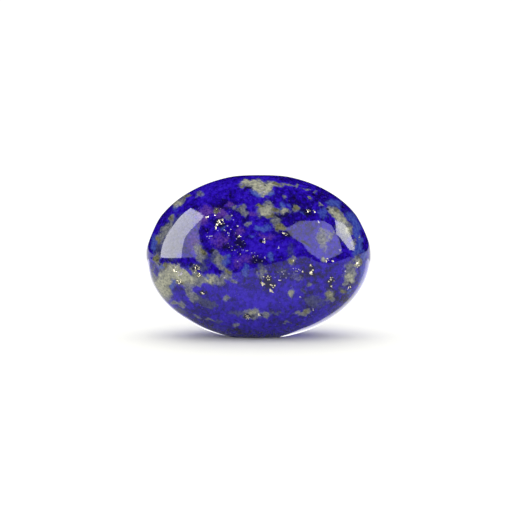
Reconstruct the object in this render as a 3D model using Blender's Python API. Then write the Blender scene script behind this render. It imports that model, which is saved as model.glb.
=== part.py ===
"""Polished lapis lazuli stone: one plump oval pebble that stands on a small ground flat.

Metres, +Z up. The origin is the middle of the flat that the stone rests on. Its long
axis lies along X, and the broad face that shows best looks along -Y.
"""

import math

import bmesh
import bpy
from mathutils import Matrix, Vector

# Driving dimensions of the finished stone
STONE_LENGTH = 0.0250
STONE_DEPTH = 0.0126
STONE_HEIGHT = 0.0179

# Next to an ellipsoid the broad faces are a little flatter and the shoulders fuller
SHOULDER_FULLNESS = 0.30

# The right-hand end sits a touch higher than the left
LEAN = math.radians(1.0)

# What grinding took off below, for the stone to stand on, and off the crown
BASE_GROUND_OFF = 0.00033
CROWN_BUFFED_OFF = 0.00010

# Broad shallow flats that buffing by hand left. Each has the bearing round the oval that
# it faces (0 right, 90 up), its turn towards the front, and the depth that it took off.
BUFFED_FLATS = {
    "upper right rim": (25, 0, 0.00016),
    "upper left rim": (157, 0, 0.00016),
    "left tip": (188, 8, 0.00005),
    "lower left rim": (238, 4, 0.00008),
    "lower right rim": (304, 0, 0.00004),
    "front, right of the middle": (12, 74, 0.00003),
    "front, low on the left": (214, 66, 0.00004),
    "front, high on the left": (128, 58, 0.00003),
    "back, middle": (60, -80, 0.00004),
    "back, low on the right": (330, -58, 0.00005),
    "back, left shoulder": (170, -48, 0.00005),
}

# A flat runs into the curve round it over this height above and below its plane
FLAT_SOFTNESS = 0.00016

# Grid cells along each side of the cube that is blown up into the stone
CELLS_PER_SIDE = 26

# Polished lapis, as one plain finish
LAPIS_BLUE = (0.030, 0.018, 0.420, 1.0)
POLISH_ROUGHNESS = 0.12


def ball_point(cube_point):
    """A point of the cube carried to the unit sphere, with cells of nearly even size."""
    eased = Vector(math.tan(part * math.pi / 4) for part in cube_point)
    return eased.normalized()


def oval_point(ball):
    """A point of the unit sphere carried to the plump oval body, about its middle."""
    fullness = 1 + SHOULDER_FULLNESS * (1 - ball.y**2)
    half_height = (STONE_HEIGHT + BASE_GROUND_OFF + CROWN_BUFFED_OFF) / 2
    body = Vector(
        (
            STONE_LENGTH / 2 * ball.x,
            STONE_DEPTH / 2 * ball.y * fullness,
            half_height * ball.z,
        )
    )
    return Matrix.Rotation(-LEAN, 3, "Y") @ body


def facing(bearing, turn):
    """The unit direction at a bearing round the oval, turned towards the front."""
    around, front = math.radians(bearing), math.radians(turn)
    return Vector(
        (
            math.cos(around) * math.cos(front),
            -math.sin(front),
            math.sin(around) * math.cos(front),
        )
    )


def buff(corners, direction, depth):
    """Takes a soft-edged flat of that depth off what reaches furthest along direction."""
    plane = max(corner.co.dot(direction) for corner in corners) - depth
    for corner in corners:
        over = corner.co.dot(direction) - plane
        if over > FLAT_SOFTNESS:
            corner.co -= direction * over
        elif over > -FLAT_SOFTNESS:
            corner.co -= direction * (over + FLAT_SOFTNESS) ** 2 / (4 * FLAT_SOFTNESS)


def grind_base(body):
    """Cuts the underside off level, and closes the cut with one flat face."""
    lowest = min(corner.co.z for corner in body.verts)
    bmesh.ops.bisect_plane(
        body,
        geom=body.verts[:] + body.edges[:] + body.faces[:],
        plane_co=(0, 0, lowest + BASE_GROUND_OFF),
        plane_no=(0, 0, -1),
        clear_outer=True,
    )
    rim = [edge for edge in body.edges if edge.is_boundary]
    bmesh.ops.edgeloop_fill(body, edges=rim)


def bring_to_size(corners):
    """Scales the worked stone to its finished size, and stands it on the origin."""
    finished = Vector((STONE_LENGTH, STONE_DEPTH, STONE_HEIGHT))
    low = Vector(min(corner.co[axis] for corner in corners) for axis in range(3))
    high = Vector(max(corner.co[axis] for corner in corners) for axis in range(3))
    foot = Vector(((low.x + high.x) / 2, (low.y + high.y) / 2, low.z))
    for corner in corners:
        above = corner.co - foot
        corner.co = [above[axis] * finished[axis] / (high - low)[axis] for axis in range(3)]


def polished_finish():
    """The stone's deep blue, polished to a gloss."""
    finish = bpy.data.materials.new("polished_lapis")
    finish.use_nodes = True
    shader = finish.node_tree.nodes["Principled BSDF"]
    shader.inputs["Base Color"].default_value = LAPIS_BLUE
    shader.inputs["Roughness"].default_value = POLISH_ROUGHNESS
    shader.inputs["Metallic"].default_value = 0.0
    return finish


def lapis_stone():
    """The whole stone, shaped as a cutter does: a full oval, then its flats, then its base."""
    body = bmesh.new()
    bmesh.ops.create_cube(body, size=2.0)
    bmesh.ops.subdivide_edges(
        body, edges=body.edges[:], cuts=CELLS_PER_SIDE - 1, use_grid_fill=True
    )
    for corner in body.verts:
        corner.co = oval_point(ball_point(corner.co))
    for bearing, turn, depth in BUFFED_FLATS.values():
        buff(body.verts, facing(bearing, turn), depth)
    buff(body.verts, Vector((0, 0, 1)), CROWN_BUFFED_OFF)
    grind_base(body)
    bring_to_size(body.verts)
    bmesh.ops.recalc_face_normals(body, faces=body.faces[:])

    mesh = bpy.data.meshes.new("lapis_stone")
    body.to_mesh(mesh)
    body.free()
    mesh.shade_smooth()
    mesh.materials.append(polished_finish())
    stone = bpy.data.objects.new("lapis_stone", mesh)
    bpy.context.scene.collection.objects.link(stone)
    return stone


for leftover in list(bpy.data.objects):
    bpy.data.objects.remove(leftover, do_unlink=True)
lapis_stone()
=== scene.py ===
"""The look of a polished lapis lazuli stone that stands on its small ground flat."""

import math

import bpy
import numpy as np
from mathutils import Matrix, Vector


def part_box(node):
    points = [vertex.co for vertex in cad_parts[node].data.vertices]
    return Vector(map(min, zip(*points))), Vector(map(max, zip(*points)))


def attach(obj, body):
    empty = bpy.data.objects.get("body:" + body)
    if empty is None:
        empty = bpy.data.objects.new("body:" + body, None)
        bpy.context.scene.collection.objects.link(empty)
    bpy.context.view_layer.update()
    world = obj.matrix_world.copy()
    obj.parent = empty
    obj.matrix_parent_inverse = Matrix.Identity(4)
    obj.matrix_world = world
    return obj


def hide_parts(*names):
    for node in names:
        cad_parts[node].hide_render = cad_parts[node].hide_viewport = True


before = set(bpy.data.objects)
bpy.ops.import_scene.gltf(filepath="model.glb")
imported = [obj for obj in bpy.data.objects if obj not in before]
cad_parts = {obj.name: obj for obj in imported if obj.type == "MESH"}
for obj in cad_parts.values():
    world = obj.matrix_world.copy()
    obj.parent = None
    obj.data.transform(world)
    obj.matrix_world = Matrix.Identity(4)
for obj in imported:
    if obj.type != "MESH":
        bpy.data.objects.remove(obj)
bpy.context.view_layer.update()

MM = 0.001

# The stone. One piece of lapis lazuli, sawn to an oval, ground, and buffed by hand to a
# full gloss. Its shape is a plump oval with broad soft flats from the buffing, and one
# small ground flat below that it stands on.
SHOULDER_FULLNESS = 0.30
LEAN = math.radians(1.0)
BASE_GROUND_OFF = 0.33 * MM
CROWN_BUFFED_OFF = 0.10 * MM

# Each buffed flat has the bearing round the oval that it faces (0 right, 90 up), its turn
# towards the front, both in degrees, and the depth that it took off
BUFFED_FLATS = {
    "upper right rim": (25, 0, 0.10 * MM),
    "upper left rim": (157, 0, 0.10 * MM),
    "left tip": (188, 8, 0.05 * MM),
    "lower left rim": (238, 4, 0.08 * MM),
    "lower right rim": (304, 0, 0.04 * MM),
    "front, right of the middle": (12, 74, 0.03 * MM),
    "front, low on the left": (214, 66, 0.04 * MM),
    "front, high on the left": (128, 58, 0.03 * MM),
    "back, middle": (60, -80, 0.04 * MM),
    "back, low on the right": (330, -58, 0.05 * MM),
    "back, left shoulder": (170, -48, 0.05 * MM),
}
FLAT_SOFTNESS = 0.22 * MM
BASE_EDGE_SOFTNESS = 0.03 * MM
CELLS_PER_SIDE = 127

stone_low, stone_high = (np.array(corner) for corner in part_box("lapis_stone"))
stone_size = stone_high - stone_low


def cube_shell(cells):
    """Corners of an evenly divided cube from -1 to 1, and the four corners of each cell."""
    steps = np.arange(cells + 1)
    across, along = (grid.ravel() for grid in np.meshgrid(steps, steps, indexing="ij"))
    sides = []
    for axis in range(3):
        for level in (0, cells):
            side = np.empty((across.size, 3), int)
            side[:, axis] = level
            side[:, (axis + 1) % 3] = across
            side[:, (axis + 2) % 3] = along
            sides.append(side)
    corners, place = np.unique(np.concatenate(sides), axis=0, return_inverse=True)
    place = place.reshape(6, cells + 1, cells + 1)
    quads = []
    for number, side in enumerate(place):
        ring = [side[:-1, :-1], side[1:, :-1], side[1:, 1:], side[:-1, 1:]]
        quad = np.stack([corner.ravel() for corner in ring], axis=1)
        quads.append(quad if number % 2 else quad[:, ::-1])
    return corners * (2 / cells) - 1, np.concatenate(quads)


def oval_points(ball):
    """Points of the unit sphere carried to the plump oval body, about its middle."""
    half = stone_size / 2
    half[2] += (BASE_GROUND_OFF + CROWN_BUFFED_OFF) / 2
    body = ball * half
    body[:, 1] *= 1 + SHOULDER_FULLNESS * (1 - ball[:, 1] ** 2)
    turn = np.array(
        [
            [math.cos(LEAN), 0, -math.sin(LEAN)],
            [0, 1, 0],
            [math.sin(LEAN), 0, math.cos(LEAN)],
        ]
    )
    return body @ turn.T


def buff(points, direction, depth, softness):
    """Takes a soft-edged flat of that depth off what reaches furthest along direction."""
    reach = points @ direction
    over = reach - (reach.max() - depth)
    bend = (over + softness) ** 2 / (4 * softness)
    taken = np.where(over > softness, over, np.where(over > -softness, bend, 0))
    points -= taken[:, None] * direction


def facing(bearing, turn):
    """The unit direction at a bearing round the oval, turned towards the front."""
    around, front = math.radians(bearing), math.radians(turn)
    flat = math.cos(front)
    return np.array([math.cos(around) * flat, -math.sin(front), math.sin(around) * flat])


def placed(name, data):
    """A new object of that name and data, put in the scene."""
    thing = bpy.data.objects.new(name, data)
    bpy.context.scene.collection.objects.link(thing)
    return thing


cube_corners, stone_cells = cube_shell(CELLS_PER_SIDE)
eased = np.tan(cube_corners * math.pi / 4)
stone_points = oval_points(eased / np.linalg.norm(eased, axis=1, keepdims=True))
for bearing, turn, depth in BUFFED_FLATS.values():
    buff(stone_points, facing(bearing, turn), depth, FLAT_SOFTNESS)
buff(stone_points, np.array([0, 0, 1.0]), CROWN_BUFFED_OFF, FLAT_SOFTNESS)
buff(stone_points, np.array([0, 0, -1.0]), BASE_GROUND_OFF, BASE_EDGE_SOFTNESS)
rough_low, rough_high = stone_points.min(axis=0), stone_points.max(axis=0)
stone_points = stone_low + (stone_points - rough_low) * stone_size / (rough_high - rough_low)

stone_mesh = bpy.data.meshes.new("lapis_body")
stone_mesh.from_pydata(stone_points.tolist(), [], stone_cells.tolist())
stone_mesh.shade_smooth()
stone = placed("lapis_body", stone_mesh)

# Where the camera stands, nearly square to the stone's best face. The markings are placed as
# they show from there, on the upright plane through the stone's middle.
CAMERA_RISE = 5.0
CAMERA_DISTANCE = 158.5 * MM
CAMERA_AIM = Vector((-0.27 * MM, 0, 8.9 * MM))


def heading(bearing, rise):
    """The unit direction that many degrees right of the front and up from the table."""
    side, up = math.radians(bearing), math.radians(rise)
    return Vector((math.sin(side) * math.cos(up), -math.cos(side) * math.cos(up), math.sin(up)))


camera_eye = CAMERA_AIM + heading(0, CAMERA_RISE) * CAMERA_DISTANCE
back_eye = CAMERA_AIM + heading(180, CAMERA_RISE) * CAMERA_DISTANCE

# The minerals that mark the blue, laid down in this order. Each patch is an oval: how far
# it is across from the middle and up from the table, its half length and half width, all
# in millimetres, its tilt in degrees, and how solidly it covers, from 0 to 1.
FRONT_PATCHES = {
    # Purple lazurite
    "violet": [
        (-5.8, 13.9, 0.85, 0.6, 10, 0.95), (-6.3, 12.9, 0.7, 0.65, 0, 0.7),
        (-4.1, 13.6, 0.8, 0.55, -10, 0.85), (-3.2, 14.6, 0.5, 0.3, 0, 0.75),
        (-0.7, 13.6, 0.75, 0.28, 0, 0.7), (1.3, 11, 0.7, 0.35, 0, 0.65), (-2.1, 11.6, 0.6, 0.5, 0, 0.7),
        (-4.2, 10.6, 1.2, 0.9, 0, 0.6), (-1.2, 8.6, 0.9, 0.6, 0, 0.6), (-2.4, 8, 0.55, 0.8, 0, 0.55),
        (-7.3, 10.6, 0.75, 1.3, 0, 0.6), (0.3, 11.2, 0.45, 0.35, 0, 0.6),
    ],
    # Dark diopside, seen as slate blue through the lazurite
    "slate": [
        (-5.95, 8.2, 0.5, 1.05, 0, 0.9), (-4.9, 8.7, 0.55, 0.55, 0, 0.85), (-6.5, 4, 0.85, 0.42, -12, 0.95),
        (-5.4, 3.4, 0.85, 0.38, -12, 0.9), (-8.7, 2.75, 0.85, 0.3, -14, 0.85),
        (-2.5, 2.5, 0.8, 0.32, 0, 0.8), (-1.3, 2.1, 0.5, 0.35, 0, 0.9), (0.4, 7.5, 0.45, 1, 15, 0.75),
        (6.6, 3.75, 1.15, 0.75, 0, 0.7), (9.4, 5.1, 0.5, 0.42, 0, 0.85), (5, 5.05, 0.32, 0.32, 0, 0.8),
        (2.7, 7.1, 0.8, 0.7, 0, 0.6), (-7, 7.6, 0.6, 0.5, 0, 0.85), (-6.9, 6.45, 0.7, 0.42, 0, 0.85),
        (1.9, 13.1, 0.6, 0.6, 0, 0.85), (3.6, 9.4, 0.5, 1, 0, 0.6), (5.3, 10.35, 0.55, 0.28, -20, 0.8),
        (-11.2, 9.7, 0.35, 0.6, 0, 0.8), (-9.5, 11, 1.3, 1.9, -15, 0.95), (-8.2, 12.6, 1, 1.1, -20, 0.9),
        (-9.8, 9.4, 0.9, 0.9, 0, 0.9), (9.4, 11.6, 0.6, 1.6, 18, 0.85), (-4.3, 1.5, 0.5, 0.25, -20, 0.7),
        (5.6, 3.9, 0.55, 0.45, 0, 0.7), (1.9, 2.5, 0.8, 0.25, 0, 0.7),
    ],
    # Calcite, grey where it is thin or mixed with the blue
    "grey": [
        (2, 16.9, 0.8, 0.25, -7, 0.95), (3.4, 16.8, 0.7, 0.12, 0, 0.85), (-1.85, 16.7, 0.3, 0.13, 0, 0.9),
        (4.3, 16.7, 0.2, 0.14, 0, 0.9), (-0.5, 16.9, 1.5, 0.45, 0, 0.9), (0.5, 16.4, 1.05, 0.7, -10, 0.95),
        (-6.5, 15.8, 0.55, 0.32, 18, 0.8), (-8.4, 15.2, 0.42, 0.25, 35, 0.9),
        (-7.95, 15.55, 0.38, 0.18, 35, 0.9), (-8.95, 14.7, 0.55, 0.45, 40, 0.95),
        (-9.6, 13.15, 0.3, 0.5, -20, 0.85), (-9.95, 12.3, 0.4, 0.4, 0, 0.85),
        (-10.5, 11.6, 0.48, 0.6, -20, 0.85), (-11.05, 10.8, 0.42, 0.6, -10, 0.9),
        (-11.35, 8.7, 0.38, 0.65, 0, 0.85), (0.95, 14.5, 0.5, 0.6, 0, 0.85),
        (0.8, 13.9, 1.05, 0.68, 0, 0.95), (2.8, 13.9, 0.75, 0.38, -5, 0.9), (2, 12.8, 0.5, 0.45, 0, 0.75),
        (2.4, 12.1, 0.65, 0.4, -5, 0.9), (4.2, 14.2, 0.42, 0.35, 0, 0.9), (-2.5, 14.3, 0.6, 0.35, 0, 0.66),
        (-1.7, 14.4, 0.36, 0.26, 0, 0.78), (-1.8, 13.9, 0.55, 0.25, -30, 0.72),
        (-1.4, 13.5, 0.32, 0.26, 0, 0.72), (-1.15, 12.5, 0.36, 0.32, 0, 0.74),
        (-3.4, 13.2, 0.45, 0.4, 0, 0.55), (7.85, 14.2, 0.38, 0.3, 0, 0.9),
        (8.6, 13.65, 0.95, 0.48, -42, 0.95), (9.5, 12.7, 0.75, 0.45, -58, 0.9),
        (10.05, 11.7, 0.55, 0.75, 0, 0.9), (10.65, 10.2, 0.3, 0.55, 0, 0.75), (11, 8.5, 0.5, 0.55, 0, 0.9),
        (10.2, 7.75, 0.65, 0.55, 0, 0.62), (10.25, 6.7, 0.68, 0.85, 0, 0.92),
        (9.75, 5.9, 0.32, 0.38, 0, 0.8), (11.2, 11, 0.15, 0.24, 0, 0.9), (11.2, 5.65, 0.16, 0.22, 0, 0.8),
        (5.75, 15.4, 0.28, 0.24, 0, 0.85), (6.85, 14.6, 0.38, 0.15, -35, 0.85),
        (2.8, 15.6, 0.25, 0.32, 0, 0.62), (5.2, 16.35, 0.65, 0.12, 0, 0.7), (6.2, 16, 0.25, 0.15, 0, 0.65),
        (7.1, 10.9, 0.8, 0.5, 0, 0.88), (7.1, 11.7, 0.65, 0.38, 0, 0.66), (7.3, 9.9, 0.5, 0.6, 0, 0.62),
        (8.1, 11.3, 0.35, 0.45, 0, 0.7), (-6.8, 9.7, 0.5, 0.55, 0, 0.8), (-6.4, 8.8, 0.5, 0.7, 0, 0.78),
        (-4.7, 9.35, 0.5, 0.32, -15, 0.76), (-4.4, 8.4, 0.65, 0.5, 0, 0.8),
        (-3.95, 8.8, 0.5, 0.24, -10, 0.74), (-4.05, 7.65, 0.5, 0.36, -15, 0.78),
        (-3.5, 7.1, 0.52, 0.42, 0, 0.88), (-3.6, 6.5, 0.7, 0.32, 0, 0.8), (-8.4, 6.6, 2, 1.15, -8, 1),
        (-6.9, 5.95, 0.95, 0.48, 0, 0.95), (-5.3, 6.3, 0.85, 0.58, 0, 0.92), (-4.4, 6, 0.6, 0.55, 0, 0.72),
        (-10.9, 6.2, 1.15, 1.6, 12, 0.95), (-10.2, 4.6, 0.6, 0.75, 30, 0.85),
        (-7.7, 4.9, 0.52, 0.55, 0, 0.88), (-7.4, 4.3, 0.7, 0.42, -20, 0.88),
        (-8.6, 3.5, 0.5, 0.38, 0, 0.95), (-9.4, 3.6, 0.48, 0.18, 0, 0.9), (-3.6, 4.2, 0.3, 0.46, 0, 0.86),
        (-2.7, 6.1, 0.48, 0.24, 0, 0.72), (-0.7, 2.45, 1, 0.55, 0, 0.95), (0.85, 2.3, 0.48, 0.36, 0, 0.86),
        (4.6, 2.45, 0.7, 0.28, 0, 0.86), (5.4, 2.65, 0.5, 0.3, 5, 0.86), (3.1, 1.45, 0.52, 0.16, 0, 0.72),
        (-2.4, 1.1, 0.38, 0.24, 0, 0.82), (-6.85, 2.15, 0.52, 0.18, -22, 0.82),
        (-5.3, 1.75, 0.62, 0.13, -5, 0.82), (3.75, 8.4, 0.46, 0.42, 0, 0.86),
        (5.65, 5.65, 0.3, 0.26, 0, 0.72), (8, 4.45, 0.52, 0.68, 0, 0.96), (7.3, 8.45, 0.36, 0.32, 0, 0.9),
        (3.65, 4.75, 0.32, 0.55, 0, 0.9), (0.4, 7, 0.6, 0.8, 0, 0.58), (4.3, 6.6, 0.8, 0.6, 0, 0.5),
        (-6.9, 7.4, 0.5, 0.4, 0, 0.6), (9.3, 12, 0.4, 0.9, 25, 0.7),
    ],
    # Iron-stained calcite and mica, olive to brown
    "olive": [
        (0.3, 14.5, 0.42, 0.2, 0, 1), (1.95, 14.05, 0.46, 0.24, 0, 1), (1.3, 13.4, 0.45, 0.2, 20, 0.95),
        (2.4, 12.1, 0.62, 0.38, -5, 0.98), (4.2, 14.2, 0.34, 0.28, 0, 0.92),
        (1.9, 16.95, 0.6, 0.16, -5, 0.9), (-0.9, 17.3, 0.5, 0.1, 0, 0.8),
        (-11.15, 10.6, 0.34, 0.42, 0, 0.86), (-11.35, 8.6, 0.34, 0.52, 0, 0.92),
        (-6.1, 9.3, 0.42, 0.42, 0, 0.96), (-6.7, 6.7, 0.38, 0.26, 0, 0.95),
        (-8.75, 6.1, 0.52, 0.4, 0, 0.92), (-5.5, 6.1, 0.36, 0.26, 0, 0.84), (-3.5, 7.2, 0.36, 0.3, 0, 0.84),
        (10.1, 11.75, 0.42, 0.48, 0, 0.74), (11.35, 8.2, 0.22, 0.35, 0, 0.86),
        (-0.7, 2.65, 0.5, 0.22, 0, 0.74), (8, 4.5, 0.42, 0.5, 0, 0.78), (9.4, 4.95, 0.34, 0.26, 0, 0.8),
        (-10.4, 7.8, 0.7, 0.34, 10, 0.78), (5.75, 15.4, 0.24, 0.2, 0, 0.76),
        (-7.85, 15.55, 0.4, 0.15, 35, 0.84), (-9.6, 13.1, 0.24, 0.4, 0, 0.72),
        (8.6, 13.9, 0.5, 0.2, -42, 0.74), (-4.7, 13.95, 0.42, 0.3, 0, 0.8), (-0.3, 16.8, 0.5, 0.3, 0, 0.66),
        (3.75, 8.3, 0.36, 0.3, 0, 0.72), (5.4, 2.65, 0.36, 0.22, 0, 0.7), (-1.85, 16.68, 0.28, 0.1, 0, 0.8),
    ],
    # Calcite, cream where it is thick
    "cream": [
        (-1, 17.1, 1, 0.28, 2, 0.98), (0.4, 16.45, 0.95, 0.58, -12, 1), (0.05, 16.15, 0.6, 0.35, -30, 0.95),
        (0.6, 15.8, 0.34, 0.3, 0, 0.9), (1.3, 16.7, 0.45, 0.35, 0, 0.8), (-9, 14.65, 0.42, 0.4, 45, 0.86),
        (0.85, 14, 0.7, 0.5, 0, 0.86), (0.4, 13.55, 0.32, 0.26, 0, 0.92), (2.9, 13.9, 0.45, 0.22, -5, 0.78),
        (8.85, 13.35, 0.55, 0.3, -50, 0.98), (9.45, 12.85, 0.4, 0.3, -60, 0.8),
        (8.1, 14, 0.36, 0.24, -40, 0.72), (-9.2, 7.35, 1, 0.66, -15, 0.97),
        (-8.6, 6.75, 0.9, 0.68, 0, 0.97), (-10.4, 6.45, 0.8, 0.75, 0, 0.8),
        (-10.8, 5.55, 0.8, 0.75, -20, 0.76), (-10.3, 4.8, 0.55, 0.48, -40, 0.74),
        (-7.6, 6.2, 0.65, 0.45, 0, 0.72), (-5.4, 6.3, 0.66, 0.42, 0, 0.76),
        (10.2, 6.5, 0.48, 0.55, 0, 0.84), (11, 8.05, 0.26, 0.4, -15, 0.95), (8, 4.6, 0.36, 0.42, 0, 0.62),
        (3.65, 4.75, 0.26, 0.46, 0, 0.72), (-0.7, 2.6, 0.6, 0.28, 0, 0.66),
        (10.05, 11.8, 0.4, 0.42, 0, 0.66), (7.4, 8.45, 0.24, 0.2, 0, 0.8),
    ],
    # Pale sky-blue lazurite
    "sky": [
        (-0.2, 15.85, 0.65, 0.3, -20, 0.98), (1.3, 15.9, 0.36, 0.24, 0, 0.85),
        (2.6, 14.5, 0.32, 0.36, 0, 0.9), (7.2, 13.7, 0.6, 0.6, 0, 0.7), (8.1, 14.85, 0.55, 0.35, 0, 0.78),
        (8.85, 14.6, 0.4, 0.5, 0, 0.78), (10.1, 13.5, 0.42, 0.75, 30, 0.72),
        (10.9, 12.3, 0.4, 0.95, 15, 0.88), (11.3, 10.2, 0.3, 0.9, 0, 1), (10.8, 11.3, 0.25, 0.4, 0, 0.8),
        (10.8, 9.4, 0.36, 0.45, 0, 0.8), (11.8, 8.9, 0.26, 0.6, 0, 0.82), (0, 12, 0.45, 0.3, 0, 0.86),
        (0.9, 12, 0.6, 0.45, 0, 0.66), (-0.7, 11.15, 0.26, 0.18, 0, 0.82), (1.4, 8.8, 0.34, 0.55, 0, 0.88),
        (-3.7, 8.3, 0.48, 0.55, 0, 0.76), (-11.65, 10.2, 0.3, 0.85, 0, 0.96),
        (-9.55, 5.5, 0.26, 0.85, 0, 0.92), (-10.95, 7.75, 0.34, 0.28, 0, 0.88),
        (-7.85, 7.65, 0.24, 0.28, 0, 0.9), (-5.8, 6.55, 0.22, 0.22, 0, 0.8),
        (-9.1, 14.2, 0.45, 0.34, 0, 0.7), (-1.45, 7, 0.45, 0.48, 0, 0.66),
        (-1.4, 7.65, 0.34, 0.34, 0, 0.74), (10.2, 4.9, 0.36, 0.24, 0, 0.8), (3.4, 14.6, 0.28, 0.3, 0, 0.66),
        (-4, 12.1, 0.3, 0.3, 0, 0.7), (4.95, 13.7, 0.36, 0.24, 0, 0.66), (-3.2, 8.85, 0.3, 0.16, -40, 0.8),
        (11.6, 7.3, 0.3, 0.8, -10, 0.6), (11.5, 6, 0.3, 0.6, -20, 0.55),
    ],
    # Islands of clean blue inside the calcite
    "blue": [
        (-11.35, 7.1, 0.32, 0.46, 0, 1), (-9.15, 4.85, 0.48, 0.8, 0, 1), (-8.5, 4.9, 0.45, 0.6, 0, 0.95),
        (-8.3, 7.8, 0.46, 0.48, -40, 1), (-8.1, 4, 0.42, 0.42, 0, 0.95), (-7.6, 3.35, 0.55, 0.36, 0, 1),
        (-6.9, 5.2, 0.62, 0.38, 0, 1), (-7.7, 7.2, 0.26, 0.4, 30, 0.9), (-6.5, 7.1, 0.22, 0.42, 20, 0.84),
        (-4.85, 7.15, 0.55, 0.32, 0, 0.98), (-5.9, 5.5, 0.55, 0.32, 20, 0.9),
        (9.9, 14.2, 0.35, 0.6, 35, 0.8), (-10.1, 14, 0.5, 0.5, 0, 0.85), (-8.5, 14, 0.7, 0.4, -10, 0.8),
        (-5.7, 8.1, 0.24, 0.6, 0, 0.7), (7.6, 12.7, 0.5, 0.4, -30, 0.9), (8.1, 12, 0.22, 0.5, 0, 0.8),
        (-11.6, 13, 0.6, 0.6, 0, 0.8),
    ],
    # Navy to black: dark minerals, pits and the shadow in them
    "night": [
        (-1.2, 16.45, 0.42, 0.12, 10, 0.98), (0.8, 16.8, 0.2, 0.1, 0, 1), (2.9, 13.4, 0.7, 0.28, 10, 0.75),
        (2, 13.3, 0.42, 0.22, 0, 0.75), (-2, 10.3, 0.45, 0.45, 0, 0.78), (-0.1, 8.3, 0.7, 0.34, -10, 0.78),
        (5.3, 10.4, 0.46, 0.18, -10, 0.95), (7.6, 14.15, 0.12, 0.2, 0, 0.9),
        (3.3, 11.35, 0.55, 0.4, 0, 0.72), (-2.25, 11, 0.22, 0.35, 0, 0.82), (0.35, 10.5, 0.18, 0.3, 0, 0.9),
        (0.85, 10.6, 0.14, 0.28, 0, 0.84), (-3.7, 9.9, 0.45, 0.32, 0, 0.72),
        (-5.2, 9.4, 0.45, 0.32, 0, 0.66), (5.4, 13.8, 0.6, 0.34, 0, 0.78), (0.9, 6.1, 0.26, 0.5, 0, 0.86),
        (0.2, 6.1, 0.16, 0.4, 0, 0.84), (1.5, 5.5, 0.26, 0.24, 0, 0.88), (1.3, 6.3, 0.22, 0.22, 0, 0.82),
        (-6.35, 4.95, 0.2, 0.26, 0, 0.92), (-5.9, 4.75, 0.12, 0.22, 0, 0.9),
        (5.95, 7.5, 0.22, 0.3, 0, 0.88), (8.2, 6.2, 0.32, 0.24, 0, 0.88), (8, 5.75, 0.14, 0.2, 0, 0.9),
        (9.95, 5.5, 0.14, 0.16, 0, 0.95), (10.1, 5.85, 0.14, 0.2, 0, 0.8),
        (-8.8, 5.85, 0.16, 0.12, 0, 0.88), (0.28, 2.25, 0.12, 0.2, 0, 0.88),
        (-1.2, 2.15, 0.4, 0.24, 0, 0.72), (-4.2, 12.7, 0.55, 0.45, 0, 0.66),
        (-11.1, 7.95, 0.14, 0.16, 0, 0.86), (5, 5.1, 0.24, 0.24, 0, 0.72), (2.9, 8.1, 0.4, 0.3, 0, 0.55),
        (4.6, 8.3, 0.6, 0.4, 0, 0.6), (-7.6, 7.95, 0.2, 0.14, 0, 0.86), (-4.5, 12.5, 0.75, 0.65, 0, 0.6),
        (1.1, 5.9, 0.7, 0.8, 0, 0.6), (5.9, 7.4, 0.4, 0.6, 0, 0.58), (8.1, 6, 0.36, 0.6, 0, 0.6),
        (-7, 7.5, 0.6, 0.5, 0, 0.58), (-1, 2.1, 0.7, 0.32, 0, 0.58), (5.6, 13.85, 0.6, 0.36, 0, 0.6),
        (-2.6, 10.2, 1.1, 1.1, 0, 0.48), (-0.2, 8.8, 0.9, 0.6, 0, 0.5), (3.1, 6.9, 0.8, 0.6, 0, 0.48),
        (-6.25, 4.8, 0.3, 0.3, 0, 0.7), (3.1, 11.3, 0.5, 0.4, 0, 0.56),
    ],
}
EDGE_STEEPNESS = 1.4

# The waves that bend the patches: how fast each runs across and up, in radians per
# millimetre, and its share of the sway
SWAY = 0.09
SIDEWAYS_WAVES = [(1.3, 4.9, 1.0), (-5.3, 9.1, 0.6)]
UPWARD_WAVES = [(4.3, 2.1, 1.0), (8.3, 6.7, 0.6)]

# The front's markings run into the back's over this depth behind the stone's middle
FRONT_ENDS = 0.0 * MM
BACK_BEGINS = 2.4 * MM


def seen_from(eye, points):
    """Where points show on the upright plane through the middle, in mm across and up."""
    eye = np.array(eye)
    reach = eye[1] / (eye[1] - points[:, 1])
    return (eye + (points - eye) * reach[:, None])[:, [0, 2]] / MM


def swayed(shown):
    """The same places shifted a little in waves, so that no patch stays a true oval."""
    shifts = [
        sum(share * np.sin(shown @ (across, up)) for across, up, share in waves)
        for waves in (SIDEWAYS_WAVES, UPWARD_WAVES)
    ]
    return shown + SWAY * np.stack(shifts, axis=1)


def patch_field(shown, patches):
    """How far the patches cover each place: near 1 inside, and half at a patch's rim."""
    bare = np.ones(len(shown))
    for across, up, length, width, tilt, cover in patches:
        turn = math.radians(tilt)
        offset = shown - (across, up)
        along = offset @ (math.cos(turn), math.sin(turn)) / length
        aside = offset @ (-math.sin(turn), math.cos(turn)) / width
        bare *= 1 - cover * 0.5 ** ((along**2 + aside**2) ** EDGE_STEEPNESS)
    return 1 - bare


# The back has the same minerals, in veins of its own. Each vein has its middle across and
# up, its half length and half width, all in millimetres, and its tilt in degrees.
BACK_SEED = 11
BACK_VEINS = [
    (-6.5, 11.5, 3.2, 1.4, 35),
    (4.5, 5.5, 3.8, 1.5, 20),
    (7.5, 12.0, 2.2, 1.0, -50),
    (-1.5, 15.5, 2.4, 0.7, 0),
]
BACK_COUNTS = {
    "violet": 12,
    "slate": 20,
    "grey": 46,
    "olive": 18,
    "cream": 18,
    "sky": 22,
    "blue": 10,
    "night": 22,
}
BACK_SCATTER = 0.55
BACK_SIZES = (0.25, 1.15)
BACK_WIDTHS = (0.4, 0.9)
BACK_COVERS = (0.6, 1.0)
BACK_TILT_SPREAD = 25


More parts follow.
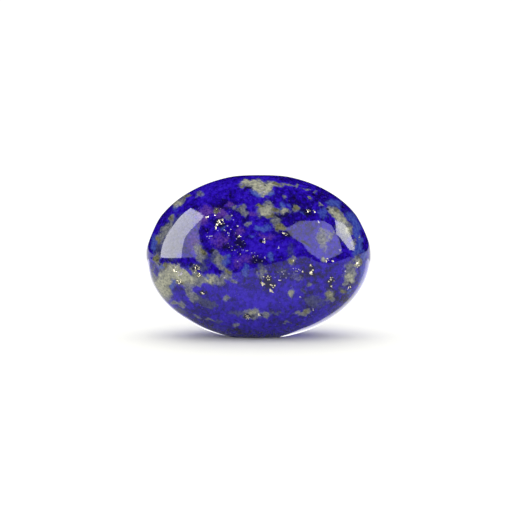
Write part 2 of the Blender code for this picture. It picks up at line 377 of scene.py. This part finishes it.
def back_patches(rng, count):
    """Ovals scattered along the veins of the back, most of them small."""
    smallest, largest = BACK_SIZES
    patches = []
    for number in range(count):
        across, up, length, width, tilt = BACK_VEINS[number % len(BACK_VEINS)]
        turn = math.radians(tilt)
        along, aside = rng.normal(0, BACK_SCATTER, 2) * (length, width)
        size = smallest + (largest - smallest) * rng.random() ** 2
        patches.append(
            (
                across + along * math.cos(turn) - aside * math.sin(turn),
                up + along * math.sin(turn) + aside * math.cos(turn),
                size,
                size * rng.uniform(*BACK_WIDTHS),
                tilt + rng.normal(0, BACK_TILT_SPREAD),
                rng.uniform(*BACK_COVERS),
            )
        )
    return patches


rng = np.random.default_rng(BACK_SEED)
behind = (stone_points[:, 1] - FRONT_ENDS) / (BACK_BEGINS - FRONT_ENDS)
behind = np.clip(behind, 0, 1)
turned_away = behind**2 * (3 - 2 * behind)
front_shown = swayed(seen_from(camera_eye, stone_points))
back_shown = swayed(seen_from(back_eye, stone_points))
for mineral, patches in FRONT_PATCHES.items():
    front = patch_field(front_shown, patches)
    back = patch_field(back_shown, back_patches(rng, BACK_COUNTS[mineral]))
    field = stone_mesh.attributes.new(mineral, "FLOAT", "POINT")
    field.data.foreach_set("value", front + (back - front) * turned_away)

# The finish. The lazurite's own blues come first, each at its place along the mottle,
# with lilac and navy flecks in them.
BLUES = {
    0.34: (0.004, 0.001, 0.040),
    0.44: (0.008, 0.002, 0.150),
    0.52: (0.014, 0.002, 0.280),
    0.64: (0.026, 0.008, 0.400),
}
BROAD_CHANGE = 0.55
LILAC = (0.15, 0.11, 0.40, 1)
LILAC_SHARE = 0.55
NAVY = (0.006, 0.002, 0.06, 1)
NAVY_SHARE = 0.6
FLECKS_FROM = 0.62
FLECKS_FULL = 0.70

# Then each mineral's darkest and palest tone, how soft its edge is, and how well it hides
# what is under it. Clean blue has the lazurite's own tones.
MINERALS = {
    "violet": ((0.030, 0.006, 0.16), (0.120, 0.050, 0.30), 0.30, 0.85),
    "slate": ((0.014, 0.016, 0.05), (0.060, 0.066, 0.14), 0.28, 0.85),
    "grey": ((0.035, 0.040, 0.06), (0.200, 0.205, 0.21), 0.26, 0.92),
    "olive": ((0.025, 0.025, 0.015), (0.165, 0.160, 0.07), 0.26, 0.90),
    "cream": ((0.120, 0.125, 0.11), (0.380, 0.380, 0.28), 0.26, 0.95),
    "sky": ((0.016, 0.026, 0.24), (0.065, 0.105, 0.38), 0.32, 0.85),
    "blue": (None, None, 0.22, 0.95),
    "night": ((0.003, 0.003, 0.01), (0.008, 0.005, 0.05), 0.26, 0.95),
}
MINERAL_GRAIN = 0.26 * MM
EDGE_RAGGEDNESS = 1.9
DARKEST_AT = 0.36
PALEST_AT = 0.62

# Last the polish: its shine, how rough it is at its best, how much duller it gets in
# places and on the softer calcite, how deep the marks of buffing are, and the shares of
# that depth that fine chatter and the wear of the calcite have
SHINE = 0.36
BEST_ROUGHNESS = 0.02
UNEVEN_ROUGHNESS = 0.05
CALCITE_ROUGHNESS = 0.09
RELIEF_DEPTH = 0.002 * MM
CHATTER_SHARE = 0.12
UNDERCUT_SHARE = 0.5

lapis = bpy.data.materials.new("polished_lapis")
lapis.use_nodes = True
nodes, wires = lapis.node_tree.nodes, lapis.node_tree.links
polish = nodes["Principled BSDF"]
place = nodes.new("ShaderNodeTexCoord").outputs["Object"]


# These steps all work on the material that nodes, wires and place belong to
def put(value, socket):
    """Wires a socket to a node's input, or sets the plain value on it."""
    if isinstance(value, bpy.types.NodeSocket):
        socket.id_data.links.new(value, socket)
    else:
        socket.default_value = value


def reckon(operation, *values):
    """One step of arithmetic."""
    step = nodes.new("ShaderNodeMath")
    step.operation = operation
    for value, socket in zip(values, step.inputs):
        put(value, socket)
    return step.outputs[0]


def fractal(size, octaves, roughness=0.6, shift=0.0, warp=0.0):
    """Uneven grain with lumps of about that size and values round one half.

    Each shift gives a grain of its own.
    """
    grain = nodes.new("ShaderNodeTexNoise")
    grain.noise_dimensions = "4D"
    wires.new(place, grain.inputs["Vector"])
    grain.inputs["W"].default_value = shift
    grain.inputs["Scale"].default_value = 1 / size
    grain.inputs["Detail"].default_value = octaves
    grain.inputs["Roughness"].default_value = roughness
    grain.inputs["Distortion"].default_value = warp
    return grain.outputs["Fac"]


def step_up(value, low, high):
    """0 up to low, 1 from high on, and smooth between."""
    step = nodes.new("ShaderNodeMapRange")
    step.interpolation_type = "SMOOTHSTEP"
    put(value, step.inputs["Value"])
    put(low, step.inputs["From Min"])
    put(high, step.inputs["From Max"])
    return step.outputs["Result"]


def tones(value, stops):
    """Colours along a value."""
    ramp = nodes.new("ShaderNodeValToRGB")
    wires.new(value, ramp.inputs["Fac"])
    points = ramp.color_ramp.elements
    for number, (position, colour) in enumerate(stops.items()):
        point = points[number] if number < 2 else points.new(position)
        point.position = position
        point.color = (*colour, 1)
    return ramp.outputs["Color"]


def laid_over(under, over, amount):
    """The second colour over the first, as far as it covers."""
    blend = nodes.new("ShaderNodeMix")
    blend.data_type = "RGBA"
    put(amount, blend.inputs["Factor"])
    put(under, blend.inputs[6])
    put(over, blend.inputs[7])
    return blend.outputs[2]


mottle = fractal(0.45 * MM, 6, roughness=0.68, warp=0.3)
broad = fractal(3.0 * MM, 2, shift=4.0)
broad_change = reckon("MULTIPLY", reckon("SUBTRACT", broad, 0.5), BROAD_CHANGE)
blue = tones(reckon("ADD", mottle, broad_change), BLUES)
lilac_fleck = step_up(fractal(0.16 * MM, 3, shift=9.0), FLECKS_FROM, FLECKS_FULL)
blue = laid_over(blue, LILAC, reckon("MULTIPLY", lilac_fleck, LILAC_SHARE))
navy_fleck = step_up(fractal(0.20 * MM, 3, shift=14.0), FLECKS_FROM, FLECKS_FULL)
blue = laid_over(blue, NAVY, reckon("MULTIPLY", navy_fleck, NAVY_SHARE))

colour = blue
cover = {}
for number, (mineral, (dark, pale, softness, depth)) in enumerate(MINERALS.items()):
    field = nodes.new("ShaderNodeAttribute")
    field.attribute_name = mineral
    edge = fractal(MINERAL_GRAIN, 5, roughness=0.80, shift=20.0 + number, warp=0.3)
    ragged = reckon("SUBTRACT", edge, 0.5)
    uneven = reckon("MULTIPLY_ADD", ragged, EDGE_RAGGEDNESS, field.outputs["Fac"])
    cover[mineral] = step_up(uneven, 0.5 - softness, 0.5 + softness)
    tone = blue
    if dark:
        grain = fractal(MINERAL_GRAIN, 4, roughness=0.7, shift=40.0 + number)
        tone = tones(grain, {DARKEST_AT: dark, PALEST_AT: pale})
    colour = laid_over(colour, tone, reckon("MULTIPLY", cover[mineral], depth))
wires.new(colour, polish.inputs["Base Color"])

calcite = reckon("MAXIMUM", cover["grey"], cover["cream"])
sheen = fractal(0.30 * MM, 3, shift=60.0)
roughness = reckon("MULTIPLY_ADD", sheen, UNEVEN_ROUGHNESS, BEST_ROUGHNESS)
roughness = reckon("MULTIPLY_ADD", calcite, CALCITE_ROUGHNESS, roughness)
wires.new(roughness, polish.inputs["Roughness"])
polish.inputs["Specular IOR Level"].default_value = SHINE

swell = fractal(0.9 * MM, 2, shift=70.0)
chatter = reckon("MULTIPLY", fractal(0.14 * MM, 3, shift=75.0), CHATTER_SHARE)
undercut = reckon("MULTIPLY", fractal(0.16 * MM, 3, shift=80.0), calcite)
undercut = reckon("MULTIPLY", undercut, UNDERCUT_SHARE)
relief = nodes.new("ShaderNodeBump")
relief.inputs["Distance"].default_value = RELIEF_DEPTH
wires.new(reckon("ADD", reckon("ADD", swell, chatter), undercut), relief.inputs["Height"])
wires.new(relief.outputs["Normal"], polish.inputs["Normal"])
stone_mesh.materials.append(lapis)

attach(stone, "root")
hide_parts("lapis_stone")

# The grains. Iron pyrite in brassy specks, and pale flecks of calcite, all grown in the
# rock; a few single pale specks are painted glints as well as calcite. Polishing left their
# tops nearly level with the stone, each tilted its own way, so that some flash and the ones beside them
# stay dark.
GRAIN_SEED = 5

# The least and greatest share of its cluster's size that a grain has, how far it stands
# proud of the stone and sits down in it, the usual slope of its top, and the share of its
# width that it keeps at its foot
GRAIN_SIZES = (0.55, 1.25)
GRAIN_PROUD = 0.014 * MM
GRAIN_SUNK = 0.060 * MM
GRAIN_TILT = 0.17
GRAIN_FOOT = 0.7

# The share of its colour that a grain keeps where it is dull, and its roughness
GRAIN_DULLNESS = 0.45
GRAIN_BEST_ROUGHNESS = 0.12
GRAIN_UNEVEN_ROUGHNESS = 0.35

# Each cluster has how far it is across from the middle and up from the table, how wide it
# spreads, the number of its grains, and their usual size. Lengths are in millimetres.
GRAINS = {
    "pyrite_grains": {
        "colour": (0.86, 0.79, 0.58),
        "metal": 0.8,
        "front": [
            (-4.4, 12.75, 0.45, 16, 0.24), (-4.75, 12.1, 0.3, 8, 0.22), (-5.7, 13.2, 0.35, 6, 0.14),
            (-4.7, 13.9, 0.4, 8, 0.14), (-2.05, 11, 0.2, 5, 0.18), (0.6, 10.5, 0.22, 7, 0.2),
            (2.95, 11.25, 0.3, 8, 0.18), (5.5, 13.85, 0.34, 12, 0.18), (6.2, 13.9, 0.12, 3, 0.22),
            (0.55, 5.8, 0.12, 4, 0.42), (1.05, 6.45, 0.32, 9, 0.2), (1.6, 5.5, 0.24, 6, 0.2),
            (1.3, 4.95, 0.24, 7, 0.24), (2.4, 6.15, 0.1, 2, 0.2), (4.85, 7.15, 0.14, 3, 0.24),
            (5.85, 7.9, 0.16, 4, 0.2), (5.95, 7.05, 0.24, 7, 0.24), (8.1, 6.3, 0.26, 7, 0.2),
            (8.1, 5.6, 0.12, 3, 0.22), (7.65, 8.4, 0.18, 5, 0.2), (8.2, 8.35, 0.16, 4, 0.2),
            (11, 8, 0.24, 6, 0.28), (10.15, 5.4, 0.2, 6, 0.24), (-6.2, 4.75, 0.18, 6, 0.22),
            (-6.9, 7.5, 0.46, 18, 0.18), (-6.7, 6.7, 0.26, 6, 0.18), (-8.75, 6, 0.3, 9, 0.26),
            (-9.35, 7.3, 0.12, 3, 0.26), (-1.2, 1.95, 0.32, 9, 0.2), (0.1, 2.3, 0.18, 5, 0.22),
            (3.8, 8.3, 0.26, 4, 0.14), (10.6, 9.95, 0.12, 3, 0.18), (11.2, 11, 0.1, 2, 0.18),
        ],
        "back": [
            (-6, 11, 0.6, 20, 0.24), (4, 6, 0.6, 22, 0.26), (6.5, 10.5, 0.4, 10, 0.2),
            (-2.5, 5, 0.5, 12, 0.2), (0.5, 13.5, 0.5, 14, 0.2), (-8.5, 7.5, 0.4, 8, 0.22),
        ],
    },
    "calcite_and_glint_flecks": {
        "colour": (0.52, 0.48, 0.60),
        "metal": 0.0,
        "front": [
            # The first six are single pale specks set where the polish shows bright points: their pale
            # colour is partly a painted glint, partly calcite
            (4.65, 4.35, 0.03, 2, 0.24), (0.73, 8.75, 0.05, 2, 0.18), (-1.3, 9.5, 0.05, 2, 0.16),
            (-2.4, 12.25, 0.05, 2, 0.18), (-2.95, 13.4, 0.06, 2, 0.18), (9.7, 7.2, 0.05, 2, 0.22),
            (4.3, 7.4, 0.35, 7, 0.16), (2.5, 6.8, 0.6, 9, 0.14), (-3.6, 11.9, 0.9, 14, 0.14),
            (-2.6, 9.9, 1.2, 18, 0.12), (-5.4, 11.2, 0.3, 6, 0.16), (-0.3, 8.6, 0.6, 8, 0.14),
            (6.7, 12.65, 0.12, 3, 0.2), (6.1, 2.9, 0.12, 3, 0.2), (-3.8, 6.45, 0.08, 2, 0.22),
            (9.1, 9.6, 0.12, 3, 0.22), (10.65, 9.7, 0.14, 3, 0.22), (2.1, 9.9, 0.3, 4, 0.14),
            (0.4, 16.3, 0.5, 10, 0.18), (-9, 14.6, 0.3, 5, 0.16), (-8.9, 7, 0.6, 12, 0.2),
        ],
        "back": [
            (-3, 9, 2.4, 30, 0.16), (4.5, 11, 2.2, 26, 0.16),
        ],
    },
}

normals = np.empty(stone_points.size, np.float32)
stone_mesh.vertices.foreach_get("normal", normals)
normals = normals.reshape(-1, 3).astype(float)


def grain_corners(rng, foot, outward, size):
    """One grain: an uneven prism of five to seven sides, with a tilted top."""
    sides = rng.integers(5, 8)
    slant = (0.3, 0.2, 0.93)
    east = np.cross(outward, slant)
    east /= np.linalg.norm(east)
    north = np.cross(outward, east)
    turns = 2 * math.pi * (np.arange(sides) + rng.uniform(-0.3, 0.3, sides)) / sides
    reach = size / 2 * rng.uniform(0.65, 1.0, sides)
    slimness = rng.uniform(0.6, 1)
    flat = np.outer(reach * np.cos(turns), east)
    flat += np.outer(reach * np.sin(turns) * slimness, north)
    lean = rng.normal(0, GRAIN_TILT, 2)
    rise = GRAIN_PROUD + flat @ (lean[0] * east + lean[1] * north)
    top = foot + flat + np.outer(rise, outward)
    return np.concatenate([top, foot + flat * GRAIN_FOOT - GRAIN_SUNK * outward])


def grain_faces(first, sides):
    """The top, the foot and the sides of a grain whose corners start at that number."""
    top = list(range(first, first + sides))
    foot = [corner + sides for corner in top]
    faces = [top, foot[::-1]]
    for step in range(sides):
        after = (step + 1) % sides
        faces.append([top[step], foot[step], foot[after], top[after]])
    return faces


rng = np.random.default_rng(GRAIN_SEED)
for name, kind in GRAINS.items():
    corners, faces = [], []
    for eye, clusters in ((camera_eye, kind["front"]), (back_eye, kind["back"])):
        turned_to_eye = ((np.array(eye) - stone_points) * normals).sum(axis=1) > 0
        in_sight = np.flatnonzero(turned_to_eye)
        shown = seen_from(eye, stone_points[in_sight])
        for across, up, spread, count, usual_size in clusters:
            for _ in range(count):
                spot = rng.normal(0, spread / 2, 2) + (across, up)
                nearest = in_sight[((shown - spot) ** 2).sum(axis=1).argmin()]
                size = usual_size * rng.uniform(*GRAIN_SIZES) * MM
                grain = grain_corners(rng, stone_points[nearest], normals[nearest], size)
                faces.extend(grain_faces(len(corners), len(grain) // 2))
                corners.extend(grain)
    grain_mesh = bpy.data.meshes.new(name)
    grain_mesh.from_pydata(np.array(corners).tolist(), [], faces)
    grains = placed(name, grain_mesh)

    mineral = bpy.data.materials.new(name)
    mineral.use_nodes = True
    nodes, wires = mineral.node_tree.nodes, mineral.node_tree.links
    face = nodes["Principled BSDF"]
    place = nodes.new("ShaderNodeTexCoord").outputs["Object"]
    bright = kind["colour"]
    dull = tuple(GRAIN_DULLNESS * part for part in bright)
    worn = tones(fractal(0.12 * MM, 3), {0.38: dull, 0.60: bright})
    wires.new(worn, face.inputs["Base Color"])
    scuffs = fractal(0.10 * MM, 2, shift=3.0)
    scuffed = reckon("MULTIPLY_ADD", scuffs, GRAIN_UNEVEN_ROUGHNESS, GRAIN_BEST_ROUGHNESS)
    wires.new(scuffed, face.inputs["Roughness"])
    face.inputs["Metallic"].default_value = kind["metal"]
    grain_relief = nodes.new("ShaderNodeBump")
    grain_relief.inputs["Distance"].default_value = RELIEF_DEPTH
    wires.new(fractal(0.06 * MM, 2, shift=6.0), grain_relief.inputs["Height"])
    wires.new(grain_relief.outputs["Normal"], face.inputs["Normal"])
    grain_mesh.materials.append(mineral)

    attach(grains, "root")

# The table top. A plain sheet of matt white card, laid flat, and wide enough to run out
# of every view. The stone stands on it by its ground flat.
FLOOR_REACH = 3.0
floor_mesh = bpy.data.meshes.new("table_top")
floor_mesh.from_pydata(
    [
        (-FLOOR_REACH, -FLOOR_REACH, 0),
        (FLOOR_REACH, -FLOOR_REACH, 0),
        (FLOOR_REACH, FLOOR_REACH, 0),
        (-FLOOR_REACH, FLOOR_REACH, 0),
    ],
    [],
    [(0, 1, 2, 3)],
)
floor = placed("table_top", floor_mesh)
white_sheet = bpy.data.materials.new("white_sheet")
white_sheet.use_nodes = True
sheet = white_sheet.node_tree.nodes["Principled BSDF"]
sheet.inputs["Base Color"].default_value = (0.82, 0.82, 0.78, 1)
sheet.inputs["Roughness"].default_value = 0.9
sheet.inputs["Specular IOR Level"].default_value = 0.0
floor_mesh.materials.append(white_sheet)

# The light. Two big soft panels stand left and right of the stone, with a dimmer one
# inside each. On the table lie a dark cloth in front and a bright card behind. All of
# them are flat cards that only show in the stone's polish.
PANEL_DISTANCE = 0.30

# Each panel has its glow, and its corners as bearings right of the front and rises above
# the level of the stone's middle, in degrees
LIGHT_PANELS = {
    "left_softbox": (12.5, [(-84, -12), (-42, -12), (-46, 40), (-84, 50)]),
    "left_inner_panel": (3.3, [(-42, -12), (-22, -12), (-24, 6), (-45, 38)]),
    "right_inner_panel": (
        3.6,
        [(12, 9), (21, 1), (31, -2), (48, 2), (55, 30), (48, 34), (21, 27), (10, 15)],
    ),
    "right_softbox": (12.0, [(68, 5), (80, 4), (87, 33), (70, 37), (52, 20)]),
}

# Each card on the table has its glow, and its corners right of the stone and behind it,
# in millimetres. The dark cloth has no glow.
TABLE_CARDS = {
    "dark_cloth": (
        0.0,
        [
            (-83, 1), (-47, -34), (-17, -36), (-7, -46), (-1, -66), (8, -92), (25, -126), (46, -187),
            (80, -255), (72, -130), (118, -100), (206, -63), (164, 16), (2900, 60),
            (2900, -2900), (-2900, -2900), (-2900, 76), (-110, 76),
        ],
    ),
    "bright_card": (
        2.6,
        [(5, -2), (9, -1), (24, 7), (60, 29), (75, 60), (-75, 70), (-65, 42), (-20, 10), (-9, 0)],
    ),
}
CARD_LIFT = 0.05 * MM


def glowing(name, strength):
    """A white glow of that strength, even all over."""
    glow = bpy.data.materials.new(name)
    glow.use_nodes = True
    glow.node_tree.nodes.clear()
    emission = glow.node_tree.nodes.new("ShaderNodeEmission")
    emission.inputs["Strength"].default_value = strength
    surface = glow.node_tree.nodes.new("ShaderNodeOutputMaterial")
    glow.node_tree.links.new(emission.outputs["Emission"], surface.inputs["Surface"])
    return glow


def shown_in_polish(name, rim, strength):
    """A glowing card of that outline, which only shows where the polish mirrors it."""
    card_mesh = bpy.data.meshes.new(name)
    card_mesh.from_pydata(rim, [], [range(len(rim))])
    card_mesh.materials.append(glowing(name, strength))
    card = placed(name, card_mesh)
    card.visible_camera = False
    card.visible_diffuse = False
    card.visible_shadow = False


stone_middle = Vector((0, 0, stone_size[2] / 2))
for name, (strength, corners) in LIGHT_PANELS.items():
    rim = [stone_middle + heading(*corner) * PANEL_DISTANCE for corner in corners]
    shown_in_polish(name, rim, strength)
for name, (strength, corners) in TABLE_CARDS.items():
    rim = [(across * MM, behind * MM, CARD_LIFT) for across, behind in corners]
    shown_in_polish(name, rim, strength)

# The even light on everything comes from the white surround, and from two broad lamps:
# one high behind the stone, and one low in front that casts no shadow. Each lamp has its
# energy, the degrees it spreads over, its bearing and its rise.
SURROUND_STRENGTH = 1.15
BROAD_LAMPS = {"top_lamp": (0.9, 80, 180, 70), "front_fill": (0.55, 50, 0, 6)}

world = bpy.data.worlds.new("white_surround")
bpy.context.scene.world = world
world.use_nodes = True
surround = world.node_tree.nodes["Background"]
surround.inputs["Color"].default_value = (1, 1, 1, 1)
surround.inputs["Strength"].default_value = SURROUND_STRENGTH
world.cycles_visibility.glossy = False
world.cycles_visibility.camera = False

for name, (energy, spread, bearing, rise) in BROAD_LAMPS.items():
    lamp_data = bpy.data.lights.new(name, "SUN")
    lamp_data.energy = energy
    lamp_data.angle = math.radians(spread)
    lamp_data.use_shadow = name == "top_lamp"
    lamp = placed(name, lamp_data)
    lamp.rotation_euler = heading(bearing, rise).to_track_quat("Z", "Y").to_euler()
    lamp.visible_glossy = False

# The backdrop. A drum of plain white wall, closed with a lid, far off round the table.
# It glows evenly, and only the camera sees it.
BACKDROP_REACH = 2.9
BACKDROP_HEIGHT = 2.0
BACKDROP_SIDES = 48
BACKDROP_GLOW = 1.1

wall_turns = [2 * math.pi * number / BACKDROP_SIDES for number in range(BACKDROP_SIDES)]
wall_foot = [(BACKDROP_REACH * math.cos(t), BACKDROP_REACH * math.sin(t), 0) for t in wall_turns]
wall_top = [(x, y, BACKDROP_HEIGHT) for x, y, _ in wall_foot]
wall_faces = []
for here in range(BACKDROP_SIDES):
    after = (here + 1) % BACKDROP_SIDES
    wall_faces.append((here, after, after + BACKDROP_SIDES, here + BACKDROP_SIDES))
wall_faces.append(range(BACKDROP_SIDES, 2 * BACKDROP_SIDES))
wall_mesh = bpy.data.meshes.new("backdrop")
wall_mesh.from_pydata(wall_foot + wall_top, [], wall_faces)
wall_mesh.materials.append(glowing("white_wall", BACKDROP_GLOW))
backdrop = placed("backdrop", wall_mesh)
backdrop.visible_diffuse = False
backdrop.visible_glossy = False
backdrop.visible_shadow = False

# The camera. It stands low in front of the stone's best face, with a long lens, and
# looks at about the middle of the stone.
camera = placed("camera", bpy.data.cameras.new("camera"))
camera.data.lens = 100
camera.data.sensor_width = 36
camera.data.clip_start = 0.01
camera.location = camera_eye
camera.rotation_euler = (CAMERA_AIM - camera_eye).to_track_quat("-Z", "Y").to_euler()
bpy.context.scene.camera = camera
bpy.context.scene.view_settings.view_transform = "Standard"
